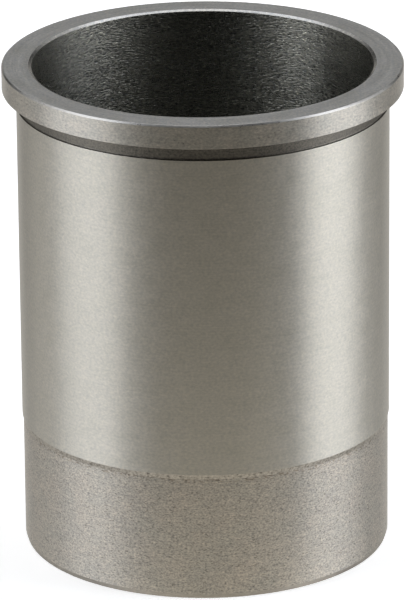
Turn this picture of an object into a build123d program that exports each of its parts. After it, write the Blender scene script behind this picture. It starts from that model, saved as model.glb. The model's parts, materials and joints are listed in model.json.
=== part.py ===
"""Flanged cylinder liner for a single engine bore, in millimetres.

One centrifugally cast iron tube, turned all over as one piece. The bore runs along +Z and the
origin is the centre of the foot face, so the liner stands on z = 0 with its flange at the top.
"""

import os

from build123d import *

NODE = "cylinder_liner"

# The bore that the piston runs in, and the chamfers at its two ends
BORE_DIAMETER = 95.25
BORE_TOP_CHAMFER_WIDTH = 0.8
BORE_TOP_CHAMFER_HEIGHT = 0.5
BORE_FOOT_CHAMFER_WIDTH = 0.8
BORE_FOOT_CHAMFER_HEIGHT = 1.4

# The whole liner, and the wall behind the ground land that is pressed into the block
OVERALL_LENGTH = 140.1
GROUND_LAND_WALL = 4.425

# The smaller land at the foot, and the lead-in cone that joins it to the ground land
LOWER_LAND_HEIGHT = 35.7
LOWER_LAND_STEP = 0.35
LEAD_IN_LENGTH = 1.4
FOOT_CHAMFER_WIDTH = 0.4
FOOT_CHAMFER_HEIGHT = 1.3

# The flange, which the cylinder head clamps into the block's counterbore
FLANGE_THICKNESS = 6.75
FLANGE_OVERHANG = 3.95
FLANGE_TOP_CHAMFER = 0.45
FLANGE_SEAT_CHAMFER = 0.2

# The relief groove under the flange, which keeps the block's edge clear of the flange's corner
RELIEF_HEIGHT = 4.5
RELIEF_DEPTH = 0.6
RELIEF_CORNER_RADIUS = 0.4
GROOVE_CORNER_SHARE = 0.9  # of the groove's depth and of half its height: a corner's limit

SHARP = 0  # the rounding of a corner that is left as the tool cuts it

# Radii and heights that follow from the sizes above
BORE_RADIUS = BORE_DIAMETER / 2
GROUND_RADIUS = BORE_RADIUS + GROUND_LAND_WALL
LOWER_RADIUS = GROUND_RADIUS - LOWER_LAND_STEP
RELIEF_RADIUS = GROUND_RADIUS - RELIEF_DEPTH
FLANGE_RADIUS = GROUND_RADIUS + FLANGE_OVERHANG
LEAD_IN_TOP = LOWER_LAND_HEIGHT + LEAD_IN_LENGTH
SEAT_HEIGHT = OVERALL_LENGTH - FLANGE_THICKNESS
GROUND_LAND_TOP = SEAT_HEIGHT - RELIEF_HEIGHT


def lower_land():
    """Corners from the foot's outer chamfer up to the foot of the lead-in cone."""
    return [
        (LOWER_RADIUS - FOOT_CHAMFER_WIDTH, 0, SHARP),
        (LOWER_RADIUS, FOOT_CHAMFER_HEIGHT, SHARP),
        (LOWER_RADIUS, LOWER_LAND_HEIGHT, SHARP),
    ]


def ground_land():
    """Corners of the land that is ground for its press fit in the block."""
    return [
        (GROUND_RADIUS, LEAD_IN_TOP, SHARP),
        (GROUND_RADIUS, GROUND_LAND_TOP, SHARP),
    ]


def relief_groove():
    """Corners of the groove's floor, rounded by the tool's nose within the groove's own size."""
    deepest = GROOVE_CORNER_SHARE * RELIEF_DEPTH
    tallest = GROOVE_CORNER_SHARE * RELIEF_HEIGHT / 2
    rounding = min(RELIEF_CORNER_RADIUS, deepest, tallest)
    return [
        (RELIEF_RADIUS, GROUND_LAND_TOP, rounding),
        (RELIEF_RADIUS, SEAT_HEIGHT, rounding),
    ]


def flange():
    """Corners of the flange, from the edge of its seat to the edge of its top face."""
    return [
        (FLANGE_RADIUS - FLANGE_SEAT_CHAMFER, SEAT_HEIGHT, SHARP),
        (FLANGE_RADIUS, SEAT_HEIGHT + FLANGE_SEAT_CHAMFER, SHARP),
        (FLANGE_RADIUS, OVERALL_LENGTH - FLANGE_TOP_CHAMFER, SHARP),
        (FLANGE_RADIUS - FLANGE_TOP_CHAMFER, OVERALL_LENGTH, SHARP),
    ]


def bore():
    """Corners of the bore and its end chamfers, from the top face down to the foot."""
    return [
        (BORE_RADIUS + BORE_TOP_CHAMFER_WIDTH, OVERALL_LENGTH, SHARP),
        (BORE_RADIUS, OVERALL_LENGTH - BORE_TOP_CHAMFER_HEIGHT, SHARP),
        (BORE_RADIUS, BORE_FOOT_CHAMFER_HEIGHT, SHARP),
        (BORE_RADIUS + BORE_FOOT_CHAMFER_WIDTH, 0, SHARP),
    ]


def half_section():
    """The wall's cross-section on one side of the axis, where X is radius and Y is height.

    Each corner is (radius, height, rounding), and they run anticlockwise from the foot.
    """
    corners = lower_land() + ground_land() + relief_groove() + flange() + bore()
    points = [(radius, height) for radius, height, _ in corners]
    roundings = [rounding for _, _, rounding in corners]
    with BuildSketch(Plane.XZ) as section:
        with BuildLine():
            FilletPolyline(points, radius=roundings, close=True)
        make_face()
    return section.sketch


def liner():
    """The half section turned once round the bore's axis."""
    with BuildPart() as turned:
        add(half_section())
        revolve(axis=Axis.Z)
    return turned.part


def main():
    """Writes the liner as one STEP file, named after its node."""
    os.makedirs("parts", exist_ok=True)
    export_step(liner(), f"parts/{NODE}.step")


main()
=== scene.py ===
"""Looks of a flanged cylinder liner: turned, ground and rough-bored cast iron in a pale studio.

Lengths are in metres, in the part's own frame, unless a docstring says otherwise. The bore runs
along +Z and the liner stands on z = 0. Azimuths are in degrees from the front, which faces -Y, and
grow towards +X.
"""

import json
import logging
import math
from dataclasses import dataclass, field
from enum import Enum

import bmesh
import bpy
from mathutils import Matrix, Vector


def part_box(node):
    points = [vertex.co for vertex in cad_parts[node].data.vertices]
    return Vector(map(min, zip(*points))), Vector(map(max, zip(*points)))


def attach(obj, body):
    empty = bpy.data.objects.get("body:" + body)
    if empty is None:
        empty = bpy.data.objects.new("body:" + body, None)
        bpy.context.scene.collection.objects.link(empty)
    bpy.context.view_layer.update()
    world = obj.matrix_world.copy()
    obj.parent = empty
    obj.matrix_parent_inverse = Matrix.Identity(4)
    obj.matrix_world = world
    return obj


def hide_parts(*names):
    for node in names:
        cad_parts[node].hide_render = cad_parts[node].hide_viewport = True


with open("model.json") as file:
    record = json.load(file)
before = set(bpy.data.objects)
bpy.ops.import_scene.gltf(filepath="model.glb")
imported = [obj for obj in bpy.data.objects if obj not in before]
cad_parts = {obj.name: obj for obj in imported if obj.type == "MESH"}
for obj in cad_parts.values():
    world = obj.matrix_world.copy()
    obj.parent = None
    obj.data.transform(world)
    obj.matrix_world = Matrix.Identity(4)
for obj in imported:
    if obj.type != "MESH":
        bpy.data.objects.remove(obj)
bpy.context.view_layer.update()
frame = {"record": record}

LOG = logging.getLogger("cylinder_liner")
NODE = "cylinder_liner"
PIECE = "turned_liner"
BODY = "root"
MILLIMETRE = 0.001
MICROMETRE = 0.001 * MILLIMETRE
FULL_TURN = 2 * math.pi
DEGREES_ROUND = 360.0
DEGREES_HALF_ROUND = 180.0

# How a noise texture is turned into marks on the metal.
FINER_OCTAVES = 2.0
OCTAVE_SHARE = 0.55  # of each octave's strength, in the next finer one
NOISE_MIDDLE = 0.5
NOISE_SWING = 4.0  # brings the noise's usual swing about its middle to about -1 to 1
MEAN_RADIUS = 52 * MILLIMETRE  # of the liner's wall, where marks on a flat face have their length
ACROSS_THE_LAY = 0.25  # of a turn, from the direction round the axis to the direction along it
MIX_A, MIX_B, MIX_RESULT = 6, 7, 2  # a colour Mix node's sockets

# How close two points count as being at one height or radius, and how far faces may bend before
# the edge between them shows: more than round one facet, and less than at the lead-in cone.
TOLERANCE = 1 * MICROMETRE
SHARPEST_SMOOTH_BEND = math.radians(3)

# The studio's pieces, its white paper and its camera.
TENT_SUBDIVISIONS = 4
DISC_FACETS = 96
SEEN_RAYS = ("Is Camera Ray", "Is Glossy Ray", "Is Transmission Ray")  # that see the paper lifted
FRAME_WIDTH = 36.0  # of the camera's sensor, in millimetres

Colour = tuple[float, float, float]
Corner = tuple[float, float]  # a radius and a height

WHITE: Colour = (1.0, 1.0, 1.0)
BLACK: Colour = (0.0, 0.0, 0.0)
WARM: Colour = (1.06, 0.99, 0.85)
CREAM: Colour = (1.01, 0.98, 0.92)
COOL: Colour = (0.99, 1.0, 1.01)
SKY: Colour = (0.95, 1.0, 1.09)


def grey(level: float) -> Colour:
    """A colour, or a change of colour, that is the same for red, green and blue."""
    return (level, level, level)


def opaque(colour: Colour) -> tuple[float, float, float, float]:
    """A colour as a shader's own socket takes it."""
    return (*colour, 1.0)


# ------------------------------------------------------------------------------ shader arithmetic


class Graph:
    """A node tree that is filled from Python expressions."""

    def __init__(self, tree: bpy.types.NodeTree) -> None:
        """Empties the tree.

        Args:
            tree: A material's or the world's node tree.
        """
        self.tree = tree
        tree.nodes.clear()

    def add(
        self,
        kind: str,
        settings: dict[str, object] | None = None,
        inputs: dict[str | int, object] | None = None,
    ) -> bpy.types.Node:
        """Adds any node.

        Args:
            kind: The node's type name.
            settings: Properties of the node, which are set first.
            inputs: A value, a signal or an output socket for each named or numbered input.

        Returns:
            The new node.
        """
        node = self.tree.nodes.new(kind)
        for name, value in (settings or {}).items():
            setattr(node, name, value)
        for key, value in (inputs or {}).items():
            source = value.socket if isinstance(value, Signal) else value
            if isinstance(source, bpy.types.NodeSocket):
                self.tree.links.new(source, node.inputs[key])
            else:
                node.inputs[key].default_value = source
        return node

    def signal(self, node: bpy.types.Node, output: str | int = 0) -> "Signal":
        """One output of a node, wrapped so that expressions can use it."""
        return Signal(self, node.outputs[output])

    def scaled(self, colour: bpy.types.NodeSocket, share: "Signal") -> bpy.types.NodeSocket:
        """Dims a colour.

        Args:
            colour: A colour socket.
            share: How much of it stays, from 0 to 1.

        Returns:
            The dimmed colour's socket.
        """
        node = self.add(
            "ShaderNodeVectorMath", {"operation": "SCALE"}, {"Vector": colour, "Scale": share}
        )
        return node.outputs["Vector"]


def new_material(name: str) -> tuple[bpy.types.Material, Graph]:
    """Makes a material without nodes.

    Args:
        name: The material's name.

    Returns:
        The material, and the graph that fills its node tree.
    """
    material = bpy.data.materials.new(name)
    material.use_nodes = True
    return material, Graph(material.node_tree)


class Signal:
    """A number that varies over a surface, with the arithmetic that adds Math nodes."""

    def __init__(self, graph: Graph, socket: bpy.types.NodeSocket) -> None:
        """Wraps a socket.

        Args:
            graph: The graph that the socket belongs to.
            socket: An output socket that carries a number.
        """
        self.graph = graph
        self.socket = socket

    def combine(self, operation: str, *terms: "Signal | float") -> "Signal":
        """Adds one Math node.

        Args:
            operation: The node's operation.
            terms: All its inputs, in order.

        Returns:
            The node's result.
        """
        node = self.graph.add("ShaderNodeMath", {"operation": operation}, dict(enumerate(terms)))
        return self.graph.signal(node)

    def math(self, operation: str, *others: "Signal | float") -> "Signal":
        """An operation on the signal itself and any further inputs."""
        return self.combine(operation, self, *others)

    def __add__(self, other: "Signal | float") -> "Signal":
        """Sum."""
        return self.combine("ADD", self, other)

    def __radd__(self, other: float) -> "Signal":
        """Sum with a plain number on the left."""
        return self.combine("ADD", other, self)

    def __sub__(self, other: "Signal | float") -> "Signal":
        """Difference."""
        return self.combine("SUBTRACT", self, other)

    def __rsub__(self, other: float) -> "Signal":
        """Difference from a plain number on the left."""
        return self.combine("SUBTRACT", other, self)

    def __mul__(self, other: "Signal | float") -> "Signal":
        """Product."""
        return self.combine("MULTIPLY", self, other)

    def __rmul__(self, other: float) -> "Signal":
        """Product with a plain number on the left."""
        return self.combine("MULTIPLY", other, self)

    def __truediv__(self, other: "Signal | float") -> "Signal":
        """Quotient."""
        return self.combine("DIVIDE", self, other)

    def __rtruediv__(self, other: float) -> "Signal":
        """Quotient with a plain number on the left."""
        return self.combine("DIVIDE", other, self)

    def __neg__(self) -> "Signal":
        """The signal with its sign changed."""
        return self.combine("MULTIPLY", self, -1.0)

    def rise(self, low: float, high: float) -> "Signal":
        """Turns the signal into a smooth step.

        Args:
            low: The value at which the step starts.
            high: The value at which it ends, which may be the smaller of the two.

        Returns:
            0 up to low and 1 from high on, with a smooth change between them.
        """
        node = self.graph.add(
            "ShaderNodeMapRange",
            {"interpolation_type": "SMOOTHSTEP", "clamp": True},
            {"Value": self, "From Min": low, "From Max": high, "To Min": 0.0, "To Max": 1.0},
        )
        return self.graph.signal(node)


# ------------------------------------------------------------------------------ finishes


class Lay(Enum):
    """How a layer of marks lies on the metal."""

    ROUND_WALL = "drawn out round the axis, on a wall"
    ROUND_FACE = "drawn out round the axis, on a flat face"
    ANY_WAY = "the same in all directions"


@dataclass(frozen=True)
class Marks:
    """One layer of marks, such as tool lines, grain, cloudiness, open pores, and pale streaks that are
    painted glints.

    Attributes:
        lay: The direction the marks are drawn out in.
        along: Their usual length along the tool's path, in millimetres.
        across: Their usual width across it, in millimetres.
        tone: How far they lighten the colour, for each of red, green and blue.
        gloss: How far they raise the roughness.
        height: How high they stand, in micrometres.
        cut: Where the edge of a pore or of a painted glint lies in the noise, from where it starts
            to where it is full. With no cut the marks swing evenly about zero.
        offset: Shifts the pattern, so that two layers of one size don't line up.
        fade_in: The heights between which the marks grow from nothing to their full strength, in
            millimetres. With none they are the same at all heights.
    """

    lay: Lay
    along: float
    across: float
    tone: Colour = BLACK
    gloss: float = 0.0
    height: float = 0.0
    cut: tuple[float, float] | None = None
    offset: float = 0.0
    fade_in: tuple[float, float] | None = None

    def signal(self, graph: Graph, place: "Place") -> Signal:
        """The layer's strength over the surface.

        Args:
            graph: The material's graph.
            place: The surface's coordinates.

        Returns:
            About -1 to 1, or 0 to 1 where the layer has a cut.
        """
        noise = graph.add(
            "ShaderNodeTexNoise",
            {"noise_dimensions": "4D"},
            {
                "Vector": place.stretched(
                    self.lay, self.along * MILLIMETRE, self.across * MILLIMETRE
                ),
                "W": self.offset,
                "Scale": 1.0,
                "Detail": FINER_OCTAVES,
                "Roughness": OCTAVE_SHARE,
            },
        )
        value = graph.signal(noise)
        if self.cut is None:
            marks = (value - NOISE_MIDDLE) * NOISE_SWING
        else:
            marks = value.rise(*self.cut)
        if self.fade_in is None:
            return marks
        nothing, full = self.fade_in
        return marks * place.z.rise(nothing * MILLIMETRE, full * MILLIMETRE)


class Place:
    """Coordinates of a point on a piece, in the frame that all pieces share."""

    def __init__(self, graph: Graph) -> None:
        """Reads the point's place.

        Args:
            graph: The material's graph.
        """
        self.graph = graph
        coordinates = graph.add("ShaderNodeTexCoord")
        parts = graph.add("ShaderNodeSeparateXYZ", inputs={"Vector": coordinates.outputs["Object"]})
        self.x = graph.signal(parts, "X")
        self.y = graph.signal(parts, "Y")
        self.z = graph.signal(parts, "Z")
        self.radius = (self.x * self.x + self.y * self.y).math("SQRT")

    def azimuth(self) -> Signal:
        """The direction from the axis, in degrees from the front."""
        return self.x.math("ARCTAN2", -self.y).math("DEGREES")

    def stretched(self, lay: Lay, along: float, across: float) -> bpy.types.NodeSocket:
        """The point's place in a space where one mark is one unit long and wide.

        Args:
            lay: The direction the marks are drawn out in.
            along: A mark's length.
            across: A mark's width.

        Returns:
            A vector socket for a texture.
        """
        if lay is Lay.ROUND_FACE:
            x = self.x / self.radius * (MEAN_RADIUS / along)
            y = self.y / self.radius * (MEAN_RADIUS / along)
            z = self.radius / across
        else:
            x = self.x / along
            y = self.y / along
            z = self.z / across
        node = self.graph.add("ShaderNodeCombineXYZ", inputs={"X": x, "Y": y, "Z": z})
        return node.outputs["Vector"]


@dataclass(frozen=True)
class Finish:
    """Bare cast iron as one tool leaves it, with painted shade in the groove and on the lower land
    under the lead-in, and painted glints in the bore.

    Attributes:
        name: The material's name.
        colour: The metal's own colour.
        roughness: How dull it is, before the marks change it.
        anisotropy: How far reflections are drawn out across the tool's path.
        marks: The layers of marks.
    """

    name: str
    colour: Colour
    roughness: float
    anisotropy: float = 0.0
    marks: tuple[Marks, ...] = ()

    def material(self) -> bpy.types.Material:
        """Makes the finish's material.

        Returns:
            A new material whose marks change its colour, roughness and normal.
        """
        material, graph = new_material(self.name)
        material.diffuse_color = opaque(self.colour)
        place = Place(graph)
        colour: object = opaque(self.colour)
        roughness: Signal | float = self.roughness
        height: Signal | float = 0.0
        for layer in self.marks:
            strength = layer.signal(graph, place)
            if any(layer.tone):
                colour = self.toned(graph, colour, strength, layer.tone)
            if layer.gloss:
                roughness = strength * layer.gloss + roughness
            if layer.height:
                height = strength * (layer.height * MICROMETRE) + height
        inputs: dict[str | int, object] = {
            "Base Color": colour,
            "Metallic": 1.0,
            "Roughness": roughness,
            "Anisotropic": self.anisotropy,
            "Anisotropic Rotation": ACROSS_THE_LAY,
        }
        if isinstance(height, Signal):
            bump = graph.add(
                "ShaderNodeBump", inputs={"Height": height, "Distance": 1.0, "Strength": 1.0}
            )
            inputs["Normal"] = bump.outputs["Normal"]
        shader = graph.add("ShaderNodeBsdfPrincipled", inputs=inputs)
        graph.add("ShaderNodeOutputMaterial", inputs={"Surface": shader.outputs["BSDF"]})
        return material

    @staticmethod
    def toned(graph: Graph, colour: object, strength: Signal, tone: Colour) -> bpy.types.NodeSocket:
        """Lightens or darkens a colour.

        Args:
            graph: The material's graph.
            colour: A colour socket, or a plain colour.
            strength: The layer's strength over the surface.
            tone: How far it changes red, green and blue.

        Returns:
            The colour times 1 + tone * strength.
        """
        swing = graph.add(
            "ShaderNodeVectorMath",
            {"operation": "MULTIPLY_ADD"},
            {0: strength, 1: tone, 2: WHITE},
        )
        mixed = graph.add(
            "ShaderNodeMix",
            {"data_type": "RGBA", "blend_type": "MULTIPLY"},
            {"Factor": 1.0, MIX_A: colour, MIX_B: swing.outputs["Vector"]},
        )
        return mixed.outputs[MIX_RESULT]


class Zone(Enum):
    """The liner's surfaces, in the order their finishes are put on its mesh."""

    TOP_FACE = 0
    TOP_EDGE = 1
    RIM = 2
    GROOVE = 3
    GROUND_LAND = 4
    LEAD_IN = 5
    LOWER_LAND = 6
    FOOT = 7
    BORE = 8
    BORE_EDGE = 9


FINISHES = {
    Zone.TOP_FACE: Finish(
        "faced_iron",
        colour=(0.468, 0.462, 0.444),
        roughness=0.5,
        marks=(
            Marks(Lay.ROUND_FACE, 90.0, 1.3, tone=grey(0.05), gloss=0.02, height=0.6),
            Marks(Lay.ROUND_FACE, 20.0, 0.6, tone=grey(0.12), gloss=0.03, height=1.0),
            Marks(Lay.ANY_WAY, 0.7, 0.7, tone=(0.28, 0.23, 0.17), gloss=0.03, height=2.5),
            Marks(Lay.ANY_WAY, 6.0, 6.0, tone=(0.04, 0.04, 0.06), gloss=0.03),
        ),
    ),
    Zone.TOP_EDGE: Finish(
        "broken_edge_iron",
        colour=(0.445, 0.438, 0.423),
        roughness=0.29,
        marks=(
            Marks(Lay.ROUND_WALL, 1.6, 1.6, tone=grey(0.12), gloss=0.03, height=1.0),
        ),
    ),
    Zone.RIM: Finish(
        "turned_rim_iron",
        colour=(0.45, 0.432, 0.398),
        roughness=0.35,
        anisotropy=0.3,
        marks=(
            Marks(Lay.ROUND_WALL, 8.0, 0.4, tone=grey(0.08), gloss=0.04, height=1.5),
            Marks(Lay.ROUND_WALL, 0.8, 0.5, tone=(0.34, 0.32, 0.28), gloss=0.08, height=7.0),
            Marks(Lay.ANY_WAY, 5.0, 5.0, tone=(0.06, 0.04, 0.03)),
        ),
    ),
    # The groove's colour is about a third of the other faces': painted shade under the flange's overhang.
    Zone.GROOVE: Finish(
        "relief_groove_iron",
        colour=(0.166, 0.156, 0.138),
        roughness=0.42,
        marks=(
            Marks(Lay.ROUND_WALL, 10.0, 0.4, tone=grey(0.12), gloss=0.05, height=3.0),
            Marks(Lay.ROUND_WALL, 0.6, 0.5, tone=(0.45, 0.42, 0.38), gloss=0.06, height=8.0),
        ),
    ),
    Zone.GROUND_LAND: Finish(
        "ground_iron",
        colour=(0.52, 0.502, 0.456),
        roughness=0.41,
        anisotropy=0.62,
        marks=(
            Marks(Lay.ROUND_WALL, 30.0, 0.35, tone=grey(0.05), gloss=0.02, height=0.6),
            Marks(Lay.ROUND_WALL, 0.8, 0.6, tone=(0.17, 0.15, 0.12), gloss=0.03, height=1.8),
            Marks(Lay.ANY_WAY, 5.0, 4.0, tone=(0.05, 0.045, 0.05), gloss=0.03),
        ),
    ),
    Zone.LEAD_IN: Finish(
        "lead_in_iron",
        colour=(0.435, 0.405, 0.358),
        roughness=0.44,
        marks=(
            Marks(Lay.ROUND_WALL, 0.7, 0.6, tone=grey(0.5), gloss=0.05, height=8.0),
            Marks(Lay.ANY_WAY, 1.2, 1.2, tone=grey(-0.4), gloss=0.15, height=-12.0, cut=(0.54, 0.7)),
        ),
    ),
    Zone.LOWER_LAND: Finish(
        "open_pored_iron",
        colour=(0.452, 0.425, 0.384),
        roughness=0.38,
        anisotropy=0.1,
        marks=(
            Marks(Lay.ROUND_WALL, 0.6, 0.38, tone=(0.5, 0.47, 0.42), gloss=0.08, height=9.0),
            Marks(
                Lay.ROUND_WALL, 0.9, 0.45,
                tone=grey(-0.36), gloss=0.1, height=-9.0, cut=(0.56, 0.68), offset=3.0,
            ),
            Marks(Lay.ROUND_WALL, 5.0, 0.5, tone=(0.13, 0.12, 0.1), gloss=0.03, height=1.0, offset=7.0),
            # Dark pits that grow in between 34 and 35.5 mm up, just under the lead-in: pits and grime, and
            # painted shade under the step.
            Marks(
                Lay.ROUND_WALL, 1.3, 0.6,
                tone=(-0.42, -0.46, -0.5), height=-6.0, cut=(0.46, 0.64), offset=9.0, fade_in=(34.0, 35.5),
            ),
            Marks(Lay.ANY_WAY, 8.0, 8.0, tone=(0.05, 0.03, 0.02), gloss=0.02),
        ),
    ),
    Zone.FOOT: Finish(
        "foot_iron",
        colour=(0.39, 0.366, 0.33),
        roughness=0.42,
        marks=(
            Marks(Lay.ROUND_WALL, 2.0, 0.8, tone=grey(0.16), gloss=0.06, height=4.0),
        ),
    ),
    Zone.BORE: Finish(
        "rough_bored_iron",
        colour=(0.25, 0.248, 0.223),
        roughness=0.28,
        anisotropy=0.5,
        marks=(
            Marks(Lay.ROUND_WALL, 1.1, 0.3, tone=(0.7, 0.66, 0.56), gloss=0.06, height=74.0),
            # Pale streaks that lift the colour up to about 2.3 times, on metal a little smoother there:
            # painted glints.
            Marks(
                Lay.ROUND_WALL, 1.1, 0.32,
                tone=(1.35, 1.34, 1.28), gloss=-0.06, cut=(0.56, 0.72), offset=5.0,
            ),
            Marks(Lay.ROUND_WALL, 20.0, 0.5, tone=grey(0.1), gloss=0.04, height=4.0),
        ),
    ),
    Zone.BORE_EDGE: Finish(
        "bore_edge_iron",
        colour=(0.485, 0.478, 0.458),
        roughness=0.24,
        marks=(
            Marks(Lay.ROUND_WALL, 1.0, 0.6, tone=(0.32, 0.3, 0.26), gloss=0.05, height=1.0),
        ),
    ),
}


# ------------------------------------------------------------------------------ the liner


@dataclass(frozen=True)
class Wall:
    """One round wall of the liner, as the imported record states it.

    Attributes:
        radius: Its radius.
        bottom: The height of its lower end.
        top: The height of its upper end.
    """

    radius: float
    bottom: float
    top: float

    @classmethod
    def of_mount(cls, name: str) -> "Wall":
        """Reads a wall from the record.

        Args:
            name: A round mount's name.

        Returns:
            The wall, in metres.
        """
        mount = mount_named(name)
        radius = mount["dims"]["r_mm"] * MILLIMETRE
        middle = mount["pos_m"][2]
        half_length = mount["dims"]["length_mm"] * MILLIMETRE / 2
        return cls(radius=radius, bottom=middle - half_length, top=middle + half_length)


def mount_named(name: str) -> dict:
    """The record's mount of that name."""
    return next(mount for mount in frame["record"]["mounts"] if mount["name"] == name)


@dataclass(frozen=True)
class Stretch:
    """One straight stretch of the turned outline.

    Attributes:
        start: Its first corner.
        end: Its last corner.
        zone: The surface that it makes.
    """

    start: Corner
    end: Corner
    zone: Zone

    def distance(self, radius: float, height: float) -> float:
        """How far a point of the half section lies from the stretch.

        Args:
            radius: The point's radius.
            height: The point's height.

        Returns:
            The distance to the nearest point of the stretch.
        """
        point, start = Vector((radius, height)), Vector(self.start)
        run = Vector(self.end) - start
        share = (point - start).dot(run) / run.length_squared
        nearest = start + run * min(1.0, max(0.0, share))
        return (point - nearest).length


@dataclass
class Liner:
    """The liner itself: one casting, turned all over.

    Attributes:
        bore: The bore's wall, between its end chamfers.
        ground: The land that is pressed into the block.
        lower: The smaller land above the foot.
        rim: The flange's rim, between its chamfers.
        seat: The height of the flange's seat.
        length: The liner's length.
        bore_chamfer: The width of the chamfers at both ends of the bore.
        foot_chamfer: The width of the chamfer round the foot.
        relief_depth: The depth of the groove under the flange.
        relief_corner: The radius of the groove's inner corners.
        relief_corner_facets: How many facets such a corner has.
        edge_break: How far a file or stone takes each other edge back.
        edge_break_facets: How many facets a broken edge has.
        facets: How many facets the liner has round its axis.
        outline: The half section's stretches, which laid_out gives.
    """

    bore: Wall
    ground: Wall
    lower: Wall
    rim: Wall
    seat: float
    length: float
    bore_chamfer: float = 0.8 * MILLIMETRE
    foot_chamfer: float = 0.4 * MILLIMETRE
    relief_depth: float = 0.6 * MILLIMETRE
    relief_corner: float = 0.4 * MILLIMETRE
    relief_corner_facets: int = 4
    edge_break: float = 0.06 * MILLIMETRE
    edge_break_facets: int = 2
    facets: int = 512
    outline: list[Stretch] = field(default_factory=list)

    @classmethod
    def of_frame(cls) -> "Liner":
        """Reads the liner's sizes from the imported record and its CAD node.

        Returns:
            The liner, with its outline laid out.
        """
        lowest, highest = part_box(NODE)
        liner = cls(
            bore=Wall.of_mount("bore"),
            ground=Wall.of_mount("ground_land"),
            lower=Wall.of_mount("lower_land"),
            rim=Wall.of_mount("flange_rim"),
            seat=mount_named("flange_seat")["pos_m"][2],
            length=highest.z - lowest.z,
        )
        liner.outline = liner.laid_out()
        return liner

    @property
    def relief_floor(self) -> float:
        """The radius of the groove's floor."""
        return self.ground.radius - self.relief_depth

    def laid_out(self) -> list[Stretch]:
        """Lays the half section out.

        Returns:
            Its stretches, anticlockwise and closed, from the inner edge of the foot face.
        """
        top_chamfer = self.length - self.rim.top
        seat_chamfer = self.rim.bottom - self.seat
        path = [
            ((self.bore.radius + self.bore_chamfer, 0.0), Zone.FOOT),
            ((self.lower.radius - self.foot_chamfer, 0.0), Zone.FOOT),
            ((self.lower.radius, self.lower.bottom), Zone.LOWER_LAND),
            ((self.lower.radius, self.lower.top), Zone.LEAD_IN),
            ((self.ground.radius, self.ground.bottom), Zone.GROUND_LAND),
            ((self.ground.radius, self.ground.top), Zone.GROOVE),
            ((self.relief_floor, self.ground.top), Zone.GROOVE),
            # The seat under the flange and its chamfer take the groove's painted shade too, so that the
            # chamfer shows no light line.
            ((self.relief_floor, self.seat), Zone.GROOVE),
            ((self.rim.radius - seat_chamfer, self.seat), Zone.GROOVE),
            ((self.rim.radius, self.rim.bottom), Zone.RIM),
            ((self.rim.radius, self.rim.top), Zone.TOP_EDGE),
            ((self.rim.radius - top_chamfer, self.length), Zone.TOP_FACE),
            ((self.bore.radius + self.bore_chamfer, self.length), Zone.BORE_EDGE),
            ((self.bore.radius, self.bore.top), Zone.BORE),
            ((self.bore.radius, self.bore.bottom), Zone.FOOT),
        ]
        corners = [corner for corner, _ in path]
        ends = corners[1:] + corners[:1]
        return [Stretch(start, end, zone) for (start, zone), end in zip(path, ends)]

    def zone_at(self, radius: float, height: float) -> Zone:
        """The surface that a point of the half section is on."""
        return min(self.outline, key=lambda stretch: stretch.distance(radius, height)).zone

    def build(self) -> bpy.types.Object:
        """Makes the liner's mesh and puts its finishes on.

        Returns:
            The piece, riding on the part's body in place of its CAD node.
        """
        mesh = bpy.data.meshes.new(PIECE)
        shape = bmesh.new()
        self.turn(shape)
        self.mark_zones(shape)
        self.break_edges(shape)
        bmesh.ops.recalc_face_normals(shape, faces=shape.faces)
        for face in shape.faces:
            face.smooth = True
        shape.to_mesh(mesh)
        shape.free()
        for zone in Zone:
            mesh.materials.append(FINISHES[zone].material())
        mesh.set_sharp_from_angle(angle=SHARPEST_SMOOTH_BEND)
        piece = bpy.data.objects.new(PIECE, mesh)
        bpy.context.scene.collection.objects.link(piece)
        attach(piece, BODY)
        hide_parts(NODE)
        LOG.info("turned liner: %d faces, %.1f mm long", len(mesh.polygons), self.length / MILLIMETRE)
        return piece

    def turn(self, shape: bmesh.types.BMesh) -> None:
        """Turns the outline once round the axis.

        Args:
            shape: An empty mesh, which receives the turned surface.
        """
        corners = [shape.verts.new(self.place(stretch.start)) for stretch in self.outline]
        edges = [shape.edges.new(pair) for pair in zip(corners, corners[1:] + corners[:1])]
        bmesh.ops.spin(
            shape,
            geom=corners + edges,
            cent=(0.0, 0.0, 0.0),
            axis=(0.0, 0.0, 1.0),
            angle=FULL_TURN,
            steps=self.facets,
            use_merge=True,
        )

    @staticmethod
    def place(corner: Corner) -> tuple[float, float, float]:
        """A corner of the half section, on the +X side of the axis."""
        radius, height = corner
        return (radius, 0.0, height)

    def mark_zones(self, shape: bmesh.types.BMesh) -> None:
        """Gives each face the material of its zone.

        Args:
            shape: The turned surface, before its edges are broken.
        """
        for face in shape.faces:
            middle = face.calc_center_median()
            radius = math.hypot(middle.x, middle.y)
            face.material_index = self.zone_at(radius, middle.z).value

    def break_edges(self, shape: bmesh.types.BMesh) -> None:
        """Rounds the groove's inner corners and breaks every other edge a little.

        Args:
            shape: The turned surface.
        """
        rings = [edge for edge in shape.edges if self.is_ring(edge)]
        corners = [edge for edge in rings if self.is_on_relief_floor(edge)]
        others = [edge for edge in rings if not self.is_on_relief_floor(edge)]
        self.bevel(shape, corners, self.relief_corner, self.relief_corner_facets)
        self.bevel(shape, others, self.edge_break, self.edge_break_facets)

    @staticmethod
    def is_ring(edge: bmesh.types.BMEdge) -> bool:
        """Tells whether an edge runs round the axis.

        Args:
            edge: An edge of the turned surface.

        Returns:
            True where both its ends are at one height and radius.
        """
        first, second = (vert.co for vert in edge.verts)
        level = abs(first.z - second.z) < TOLERANCE
        return level and abs(first.xy.length - second.xy.length) < TOLERANCE

    def is_on_relief_floor(self, ring: bmesh.types.BMEdge) -> bool:
        """Tells whether a ring's edge lies at the radius of the groove's floor."""
        return abs(ring.verts[0].co.xy.length - self.relief_floor) < TOLERANCE

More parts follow.
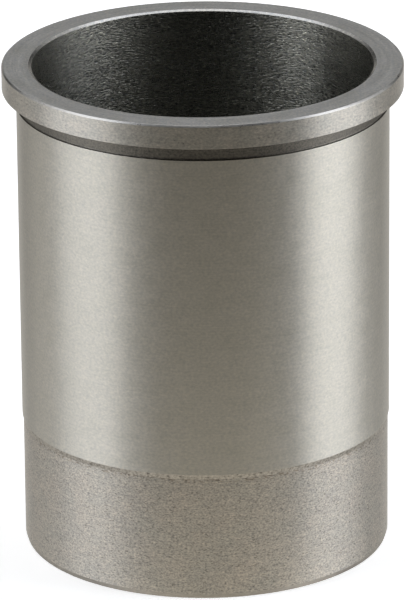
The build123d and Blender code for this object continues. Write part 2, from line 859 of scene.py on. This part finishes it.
    @staticmethod
    def bevel(
        shape: bmesh.types.BMesh, edges: list[bmesh.types.BMEdge], width: float, facets: int
    ) -> None:
        """Rounds edges.

        Args:
            shape: The mesh.
            edges: The edges to round.
            width: How far the rounding reaches to each side.
            facets: How many facets it has.
        """
        bmesh.ops.bevel(
            shape,
            geom=edges,
            offset=width,
            offset_type="OFFSET",
            affect="EDGES",
            segments=facets,
            profile=0.5,
            material=-1,
            clamp_overlap=True,
        )


# ------------------------------------------------------------------------------ the studio


def on_stage(
    name: str, shape: bmesh.types.BMesh, material: bpy.types.Material
) -> bpy.types.Object:
    """Makes one piece of the studio.

    Args:
        name: The piece's name.
        shape: Its shape, which is freed.
        material: What it is made of.

    Returns:
        The piece's object, as part of the stage.
    """
    mesh = bpy.data.meshes.new(name)
    shape.to_mesh(mesh)
    shape.free()
    mesh.materials.append(material)
    piece = bpy.data.objects.new(name, mesh)
    bpy.context.scene.collection.objects.link(piece)
    return piece


def disc(radius: float, height: float = 0.0) -> bmesh.types.BMesh:
    """Makes a level disc round the axis.

    Args:
        radius: The disc's radius.
        height: Where it lies.

    Returns:
        The disc's shape.
    """
    shape = bmesh.new()
    bmesh.ops.create_circle(shape, cap_ends=True, segments=DISC_FACETS, radius=radius)
    bmesh.ops.translate(shape, verts=shape.verts, vec=(0.0, 0.0, height))
    return shape


@dataclass(frozen=True)
class Panel:
    """One soft panel of light, as it is seen from the liner.

    Attributes:
        azimuth: The direction of its middle.
        half_width: Half its width, in degrees.
        bottom: The elevation of its lower edge, in degrees above the horizon.
        top: The elevation of its upper edge.
        level: How bright it is, where 1 is white.
        softness: How many degrees its edges take to fade.
        tint: Its colour.
    """

    azimuth: float
    half_width: float
    bottom: float
    top: float
    level: float
    softness: float
    tint: Colour = WHITE

    def sideways(self, azimuth: Signal) -> Signal:
        """The panel's strength at an azimuth.

        Args:
            azimuth: The direction, in degrees.

        Returns:
            1 inside the panel, falling to 0 past its sides.
        """
        away = azimuth - self.azimuth
        turned = (away + DEGREES_HALF_ROUND).math("FLOORED_MODULO", DEGREES_ROUND)
        return self.inside((turned - DEGREES_HALF_ROUND).math("ABSOLUTE"), self.half_width)

    def upwards(self, elevation: Signal) -> Signal:
        """The panel's strength at an elevation.

        Args:
            elevation: The direction's height, in degrees above the horizon.

        Returns:
            1 inside the panel, falling to 0 past its ends.
        """
        middle = (self.bottom + self.top) / 2
        half_height = (self.top - self.bottom) / 2
        return self.inside((elevation - middle).math("ABSOLUTE"), half_height)

    def inside(self, distance: Signal, reach: float) -> Signal:
        """A soft edge, from 1 to 0 round a distance in degrees from the panel's middle."""
        return distance.rise(reach + self.softness / 2, reach - self.softness / 2)


@dataclass(frozen=True)
class Glow:
    """Light that changes with direction.

    Attributes:
        ambient: How bright it is away from the panels.
        panels: The brighter panels.
    """

    ambient: float
    panels: tuple[Panel, ...]

    def colour(
        self, graph: Graph, azimuth: Signal, elevation: Signal | None = None
    ) -> bpy.types.NodeSocket:
        """The light in a direction.

        Args:
            graph: The graph of the material that glows.
            azimuth: The direction, in degrees.
            elevation: Its height above the horizon, or None where the panels have no ends.

        Returns:
            A colour socket, where 1 is white.
        """
        light: object = grey(self.ambient)
        for panel in self.panels:
            strength = panel.sideways(azimuth) * panel.level
            if elevation is not None:
                strength = strength * panel.upwards(elevation)
            added = graph.add(
                "ShaderNodeVectorMath",
                {"operation": "MULTIPLY_ADD"},
                {0: strength, 1: panel.tint, 2: light},
            )
            light = added.outputs["Vector"]
        return light


@dataclass(frozen=True)
class LightTent:
    """A round tent of white cloth, lit from outside, that lights the scene.

    Attributes:
        radius: The tent's radius, which the camera stands inside.
        glow: The light of its cloth.
    """

    radius: float = 3.0
    glow: Glow = Glow(
        ambient=0.012,
        panels=(
            # The window on the left, from its sill up, and the bluer light in it.
            Panel(azimuth=-77, half_width=23, bottom=-21, top=12, level=1.52, softness=15, tint=COOL),
            Panel(azimuth=-67, half_width=14, bottom=12, top=36, level=1.75, softness=15, tint=COOL),
            Panel(azimuth=-84, half_width=23, bottom=36, top=59, level=1.7, softness=15, tint=COOL),
            Panel(azimuth=-72, half_width=14, bottom=12, top=59, level=1.55, softness=15, tint=SKY),
            # The window on the right, and the bluer light in it.
            Panel(azimuth=85, half_width=21, bottom=-19, top=53, level=1.88, softness=15, tint=COOL),
            Panel(azimuth=86, half_width=15, bottom=12, top=53, level=1.8, softness=15, tint=SKY),
            # Weaker light under both windows, and at their front sides.
            Panel(azimuth=-76, half_width=22, bottom=-80, top=-21, level=0.66, softness=15),
            Panel(azimuth=84, half_width=20, bottom=-80, top=-19, level=0.8, softness=15),
            Panel(azimuth=-46, half_width=10, bottom=-60, top=50, level=0.2, softness=14),
            Panel(azimuth=50, half_width=15, bottom=-40, top=41, level=0.1, softness=25),
            # To the rear of the windows: from the horizon up, below it, and high up.
            Panel(azimuth=-114, half_width=16, bottom=0, top=70, level=0.63, softness=15),
            Panel(azimuth=118, half_width=17, bottom=0, top=70, level=0.66, softness=15),
            Panel(azimuth=-123, half_width=17, bottom=-60, top=-4, level=0.55, softness=12, tint=CREAM),
            Panel(azimuth=127, half_width=16, bottom=-60, top=-9, level=0.43, softness=12, tint=CREAM),
            Panel(azimuth=-128, half_width=20, bottom=50, top=82, level=1.15, softness=15, tint=SKY),
            Panel(azimuth=128, half_width=20, bottom=50, top=82, level=1.15, softness=15, tint=SKY),
            # Behind the liner, low down and higher up.
            Panel(azimuth=180, half_width=33, bottom=-70, top=8, level=0.7, softness=20, tint=CREAM),
            Panel(azimuth=180, half_width=45, bottom=30, top=64, level=0.62, softness=20),
            # Overhead, and from below at the front.
            Panel(azimuth=0, half_width=200, bottom=76, top=100, level=1.65, softness=12),
            Panel(azimuth=0, half_width=55, bottom=-130, top=-10, level=0.27, softness=30, tint=WARM),
        ),
    )

    def build(self) -> bpy.types.Object:
        """Makes the tent, which lights the liner and which the camera looks through.

        Returns:
            The tent's object, as part of the stage.
        """
        shape = bmesh.new()
        bmesh.ops.create_icosphere(shape, subdivisions=TENT_SUBDIVISIONS, radius=self.radius)
        tent = on_stage("light_tent", shape, self.cloth())
        tent.visible_camera = False
        LOG.info("light tent: %d panels", len(self.glow.panels))
        return tent

    def cloth(self) -> bpy.types.Material:
        """Makes the glowing cloth.

        Returns:
            A material that is brighter where the panels are.
        """
        material, graph = new_material("tent_cloth")
        place = Place(graph)
        elevation = (place.z / self.radius).math("ARCSINE").math("DEGREES")
        light = self.glow.colour(graph, place.azimuth(), elevation)
        cloth = graph.add("ShaderNodeEmission", inputs={"Color": light, "Strength": 1.0})
        graph.add("ShaderNodeOutputMaterial", inputs={"Surface": cloth.outputs["Emission"]})
        return material


@dataclass(frozen=True)
class Apron:
    """A sheet that only the metal sees: a painted reflection of the lit table round the liner's
    foot, and painted shade in the bore.

    Attributes:
        radius: How far it reaches.
        bright_radius: Where it starts to fade.
        shade_radius: How far the painted shade in the bore reaches, to the middle of the liner's foot.
        shade_edge: The width of the dark's soft edge.
        glow: Its light, which is brighter towards the front.
        drop: How far it lies below the liner's foot.
    """

    radius: float = 0.32
    bright_radius: float = 0.11
    shade_radius: float = 50 * MILLIMETRE
    shade_edge: float = 2 * MILLIMETRE
    drop: float = 0.5 * MILLIMETRE
    glow: Glow = Glow(
        ambient=0.08,
        panels=(
            Panel(azimuth=8, half_width=35, bottom=0, top=0, level=0.27, softness=30, tint=WARM),
        ),
    )

    def build(self) -> bpy.types.Object:
        """Makes the apron, which only the metal sees.

        Returns:
            The apron's object, as part of the stage.
        """
        apron = on_stage("apron", disc(self.radius, -self.drop), self.sheen())
        apron.visible_camera = False
        apron.visible_diffuse = False
        apron.visible_shadow = False
        LOG.info("apron: %.2f m across", 2 * self.radius)
        return apron

    def sheen(self) -> bpy.types.Material:
        """Makes the apron's painted reflection of the table, which fades out away from the liner, and
        the painted shade under it.

        Returns:
            A material that adds its light to the tent's, and hides the tent from the bore.
        """
        material, graph = new_material("apron_sheen")
        place = Place(graph)
        fade = place.radius.rise(self.radius, self.bright_radius)
        open_floor = place.radius.rise(self.shade_radius, self.shade_radius + self.shade_edge)
        light = graph.add(
            "ShaderNodeEmission",
            inputs={"Color": graph.scaled(self.glow.colour(graph, place.azimuth()), fade)},
        )
        clear = graph.add("ShaderNodeBsdfTransparent")
        lit = graph.add(
            "ShaderNodeAddShader", inputs={0: clear.outputs["BSDF"], 1: light.outputs["Emission"]}
        )
        # Black under the liner: painted shade where the bore's floor lies.
        dark = graph.add("ShaderNodeEmission", inputs={"Color": opaque(BLACK)})
        mixed = graph.add(
            "ShaderNodeMixShader",
            inputs={"Fac": open_floor, 1: dark.outputs["Emission"], 2: lit.outputs["Shader"]},
        )
        graph.add("ShaderNodeOutputMaterial", inputs={"Surface": mixed.outputs["Shader"]})
        return material


@dataclass(frozen=True)
class Floor:
    """The pale floor that the liner stands on.

    Attributes:
        radius: How far it reaches.
        colour: Its paint.
        roughness: How dull it is.
        lift: The light it adds for the eye, so that it reads as white paper.
    """

    radius: float = 2.9
    colour: Colour = (0.8, 0.8, 0.8)
    roughness: float = 0.9
    lift: float = 0.55

    def build(self) -> bpy.types.Object:
        """Makes the floor.

        Returns:
            The floor's object, as part of the stage.
        """
        floor = on_stage("floor", disc(self.radius), self.paper())
        floor.visible_glossy = False
        floor.visible_shadow = False
        LOG.info("floor: %.1f m across", 2 * self.radius)
        return floor

    def paper(self) -> bpy.types.Material:
        """Makes the white paper, which keeps the liner's shadow.

        Returns:
            A material that is lifted towards white for the rays that see it.
        """
        material, graph = new_material("floor_paper")
        path = graph.add("ShaderNodeLightPath")
        camera, glossy, transmission = (graph.signal(path, ray) for ray in SEEN_RAYS)
        shader = graph.add(
            "ShaderNodeBsdfPrincipled",
            inputs={
                "Base Color": opaque(self.colour),
                "Roughness": self.roughness,
                "Specular IOR Level": 0.0,
                "Emission Color": (camera + glossy + transmission).socket,
                "Emission Strength": self.lift,
            },
        )
        graph.add("ShaderNodeOutputMaterial", inputs={"Surface": shader.outputs["BSDF"]})
        return material


@dataclass(frozen=True)
class Backdrop:
    """The white room beyond the floor.

    Attributes:
        colour: Its paint.
        level: How bright it is, where 1 is as its paint is written.
    """

    colour: Colour = WHITE
    level: float = 1.0

    def build(self) -> None:
        """Makes the world a plain white."""
        world = bpy.data.worlds.new("white_room")
        world.use_nodes = True
        graph = Graph(world.node_tree)
        room = graph.add(
            "ShaderNodeBackground", inputs={"Color": opaque(self.colour), "Strength": self.level}
        )
        graph.add("ShaderNodeOutputWorld", inputs={"Surface": room.outputs["Background"]})
        bpy.context.scene.world = world
        LOG.info("backdrop: a plain room at level %.1f", self.level)


@dataclass(frozen=True)
class Camera:
    """A long lens that looks down on the liner from the front.

    Attributes:
        distance: From the target's height on the axis to the lens.
        elevation: How far it looks down, in degrees.
        target: The point in the middle of the picture.
        roll: How far it is turned clockwise, in degrees.
        focal_length: Of the lens, in millimetres.
    """

    distance: float = 1.6844
    elevation: float = 20.43
    target: tuple[float, float, float] = (-0.00062, 0.0, 0.06936)
    roll: float = 0.528
    focal_length: float = 358.2

    def build(self) -> bpy.types.Object:
        """Makes the camera and hands it to the scene.

        Returns:
            The camera's object.
        """
        data = bpy.data.cameras.new("camera")
        data.lens = self.focal_length
        data.sensor_width = FRAME_WIDTH
        camera = bpy.data.objects.new("camera", data)
        bpy.context.scene.collection.objects.link(camera)
        camera.matrix_world = self.matrix()
        bpy.context.scene.camera = camera
        LOG.info("camera: %.2f m away, %.1f degrees up", self.distance, self.elevation)
        return camera

    def matrix(self) -> Matrix:
        """Works out where the camera stands and how it is turned.

        Returns:
            The camera's place, its aim at the target and its roll, in one matrix.
        """
        lift = math.radians(self.elevation)
        middle = Vector((0.0, 0.0, self.target[2]))
        place = middle + self.distance * Vector((0.0, -math.cos(lift), math.sin(lift)))
        aim = (Vector(self.target) - place).to_track_quat("-Z", "Y").to_matrix().to_4x4()
        return Matrix.Translation(place) @ aim @ Matrix.Rotation(-math.radians(self.roll), 4, "Z")


def main() -> None:
    """Builds the liner and its studio."""
    logging.basicConfig(level=logging.INFO, format="%(name)s: %(message)s")
    bpy.context.scene.view_settings.view_transform = "Standard"
    Camera().build()
    Liner.of_frame().build()
    Floor().build()
    Apron().build()
    LightTent().build()
    Backdrop().build()


if __name__ == "__main__":
    main()
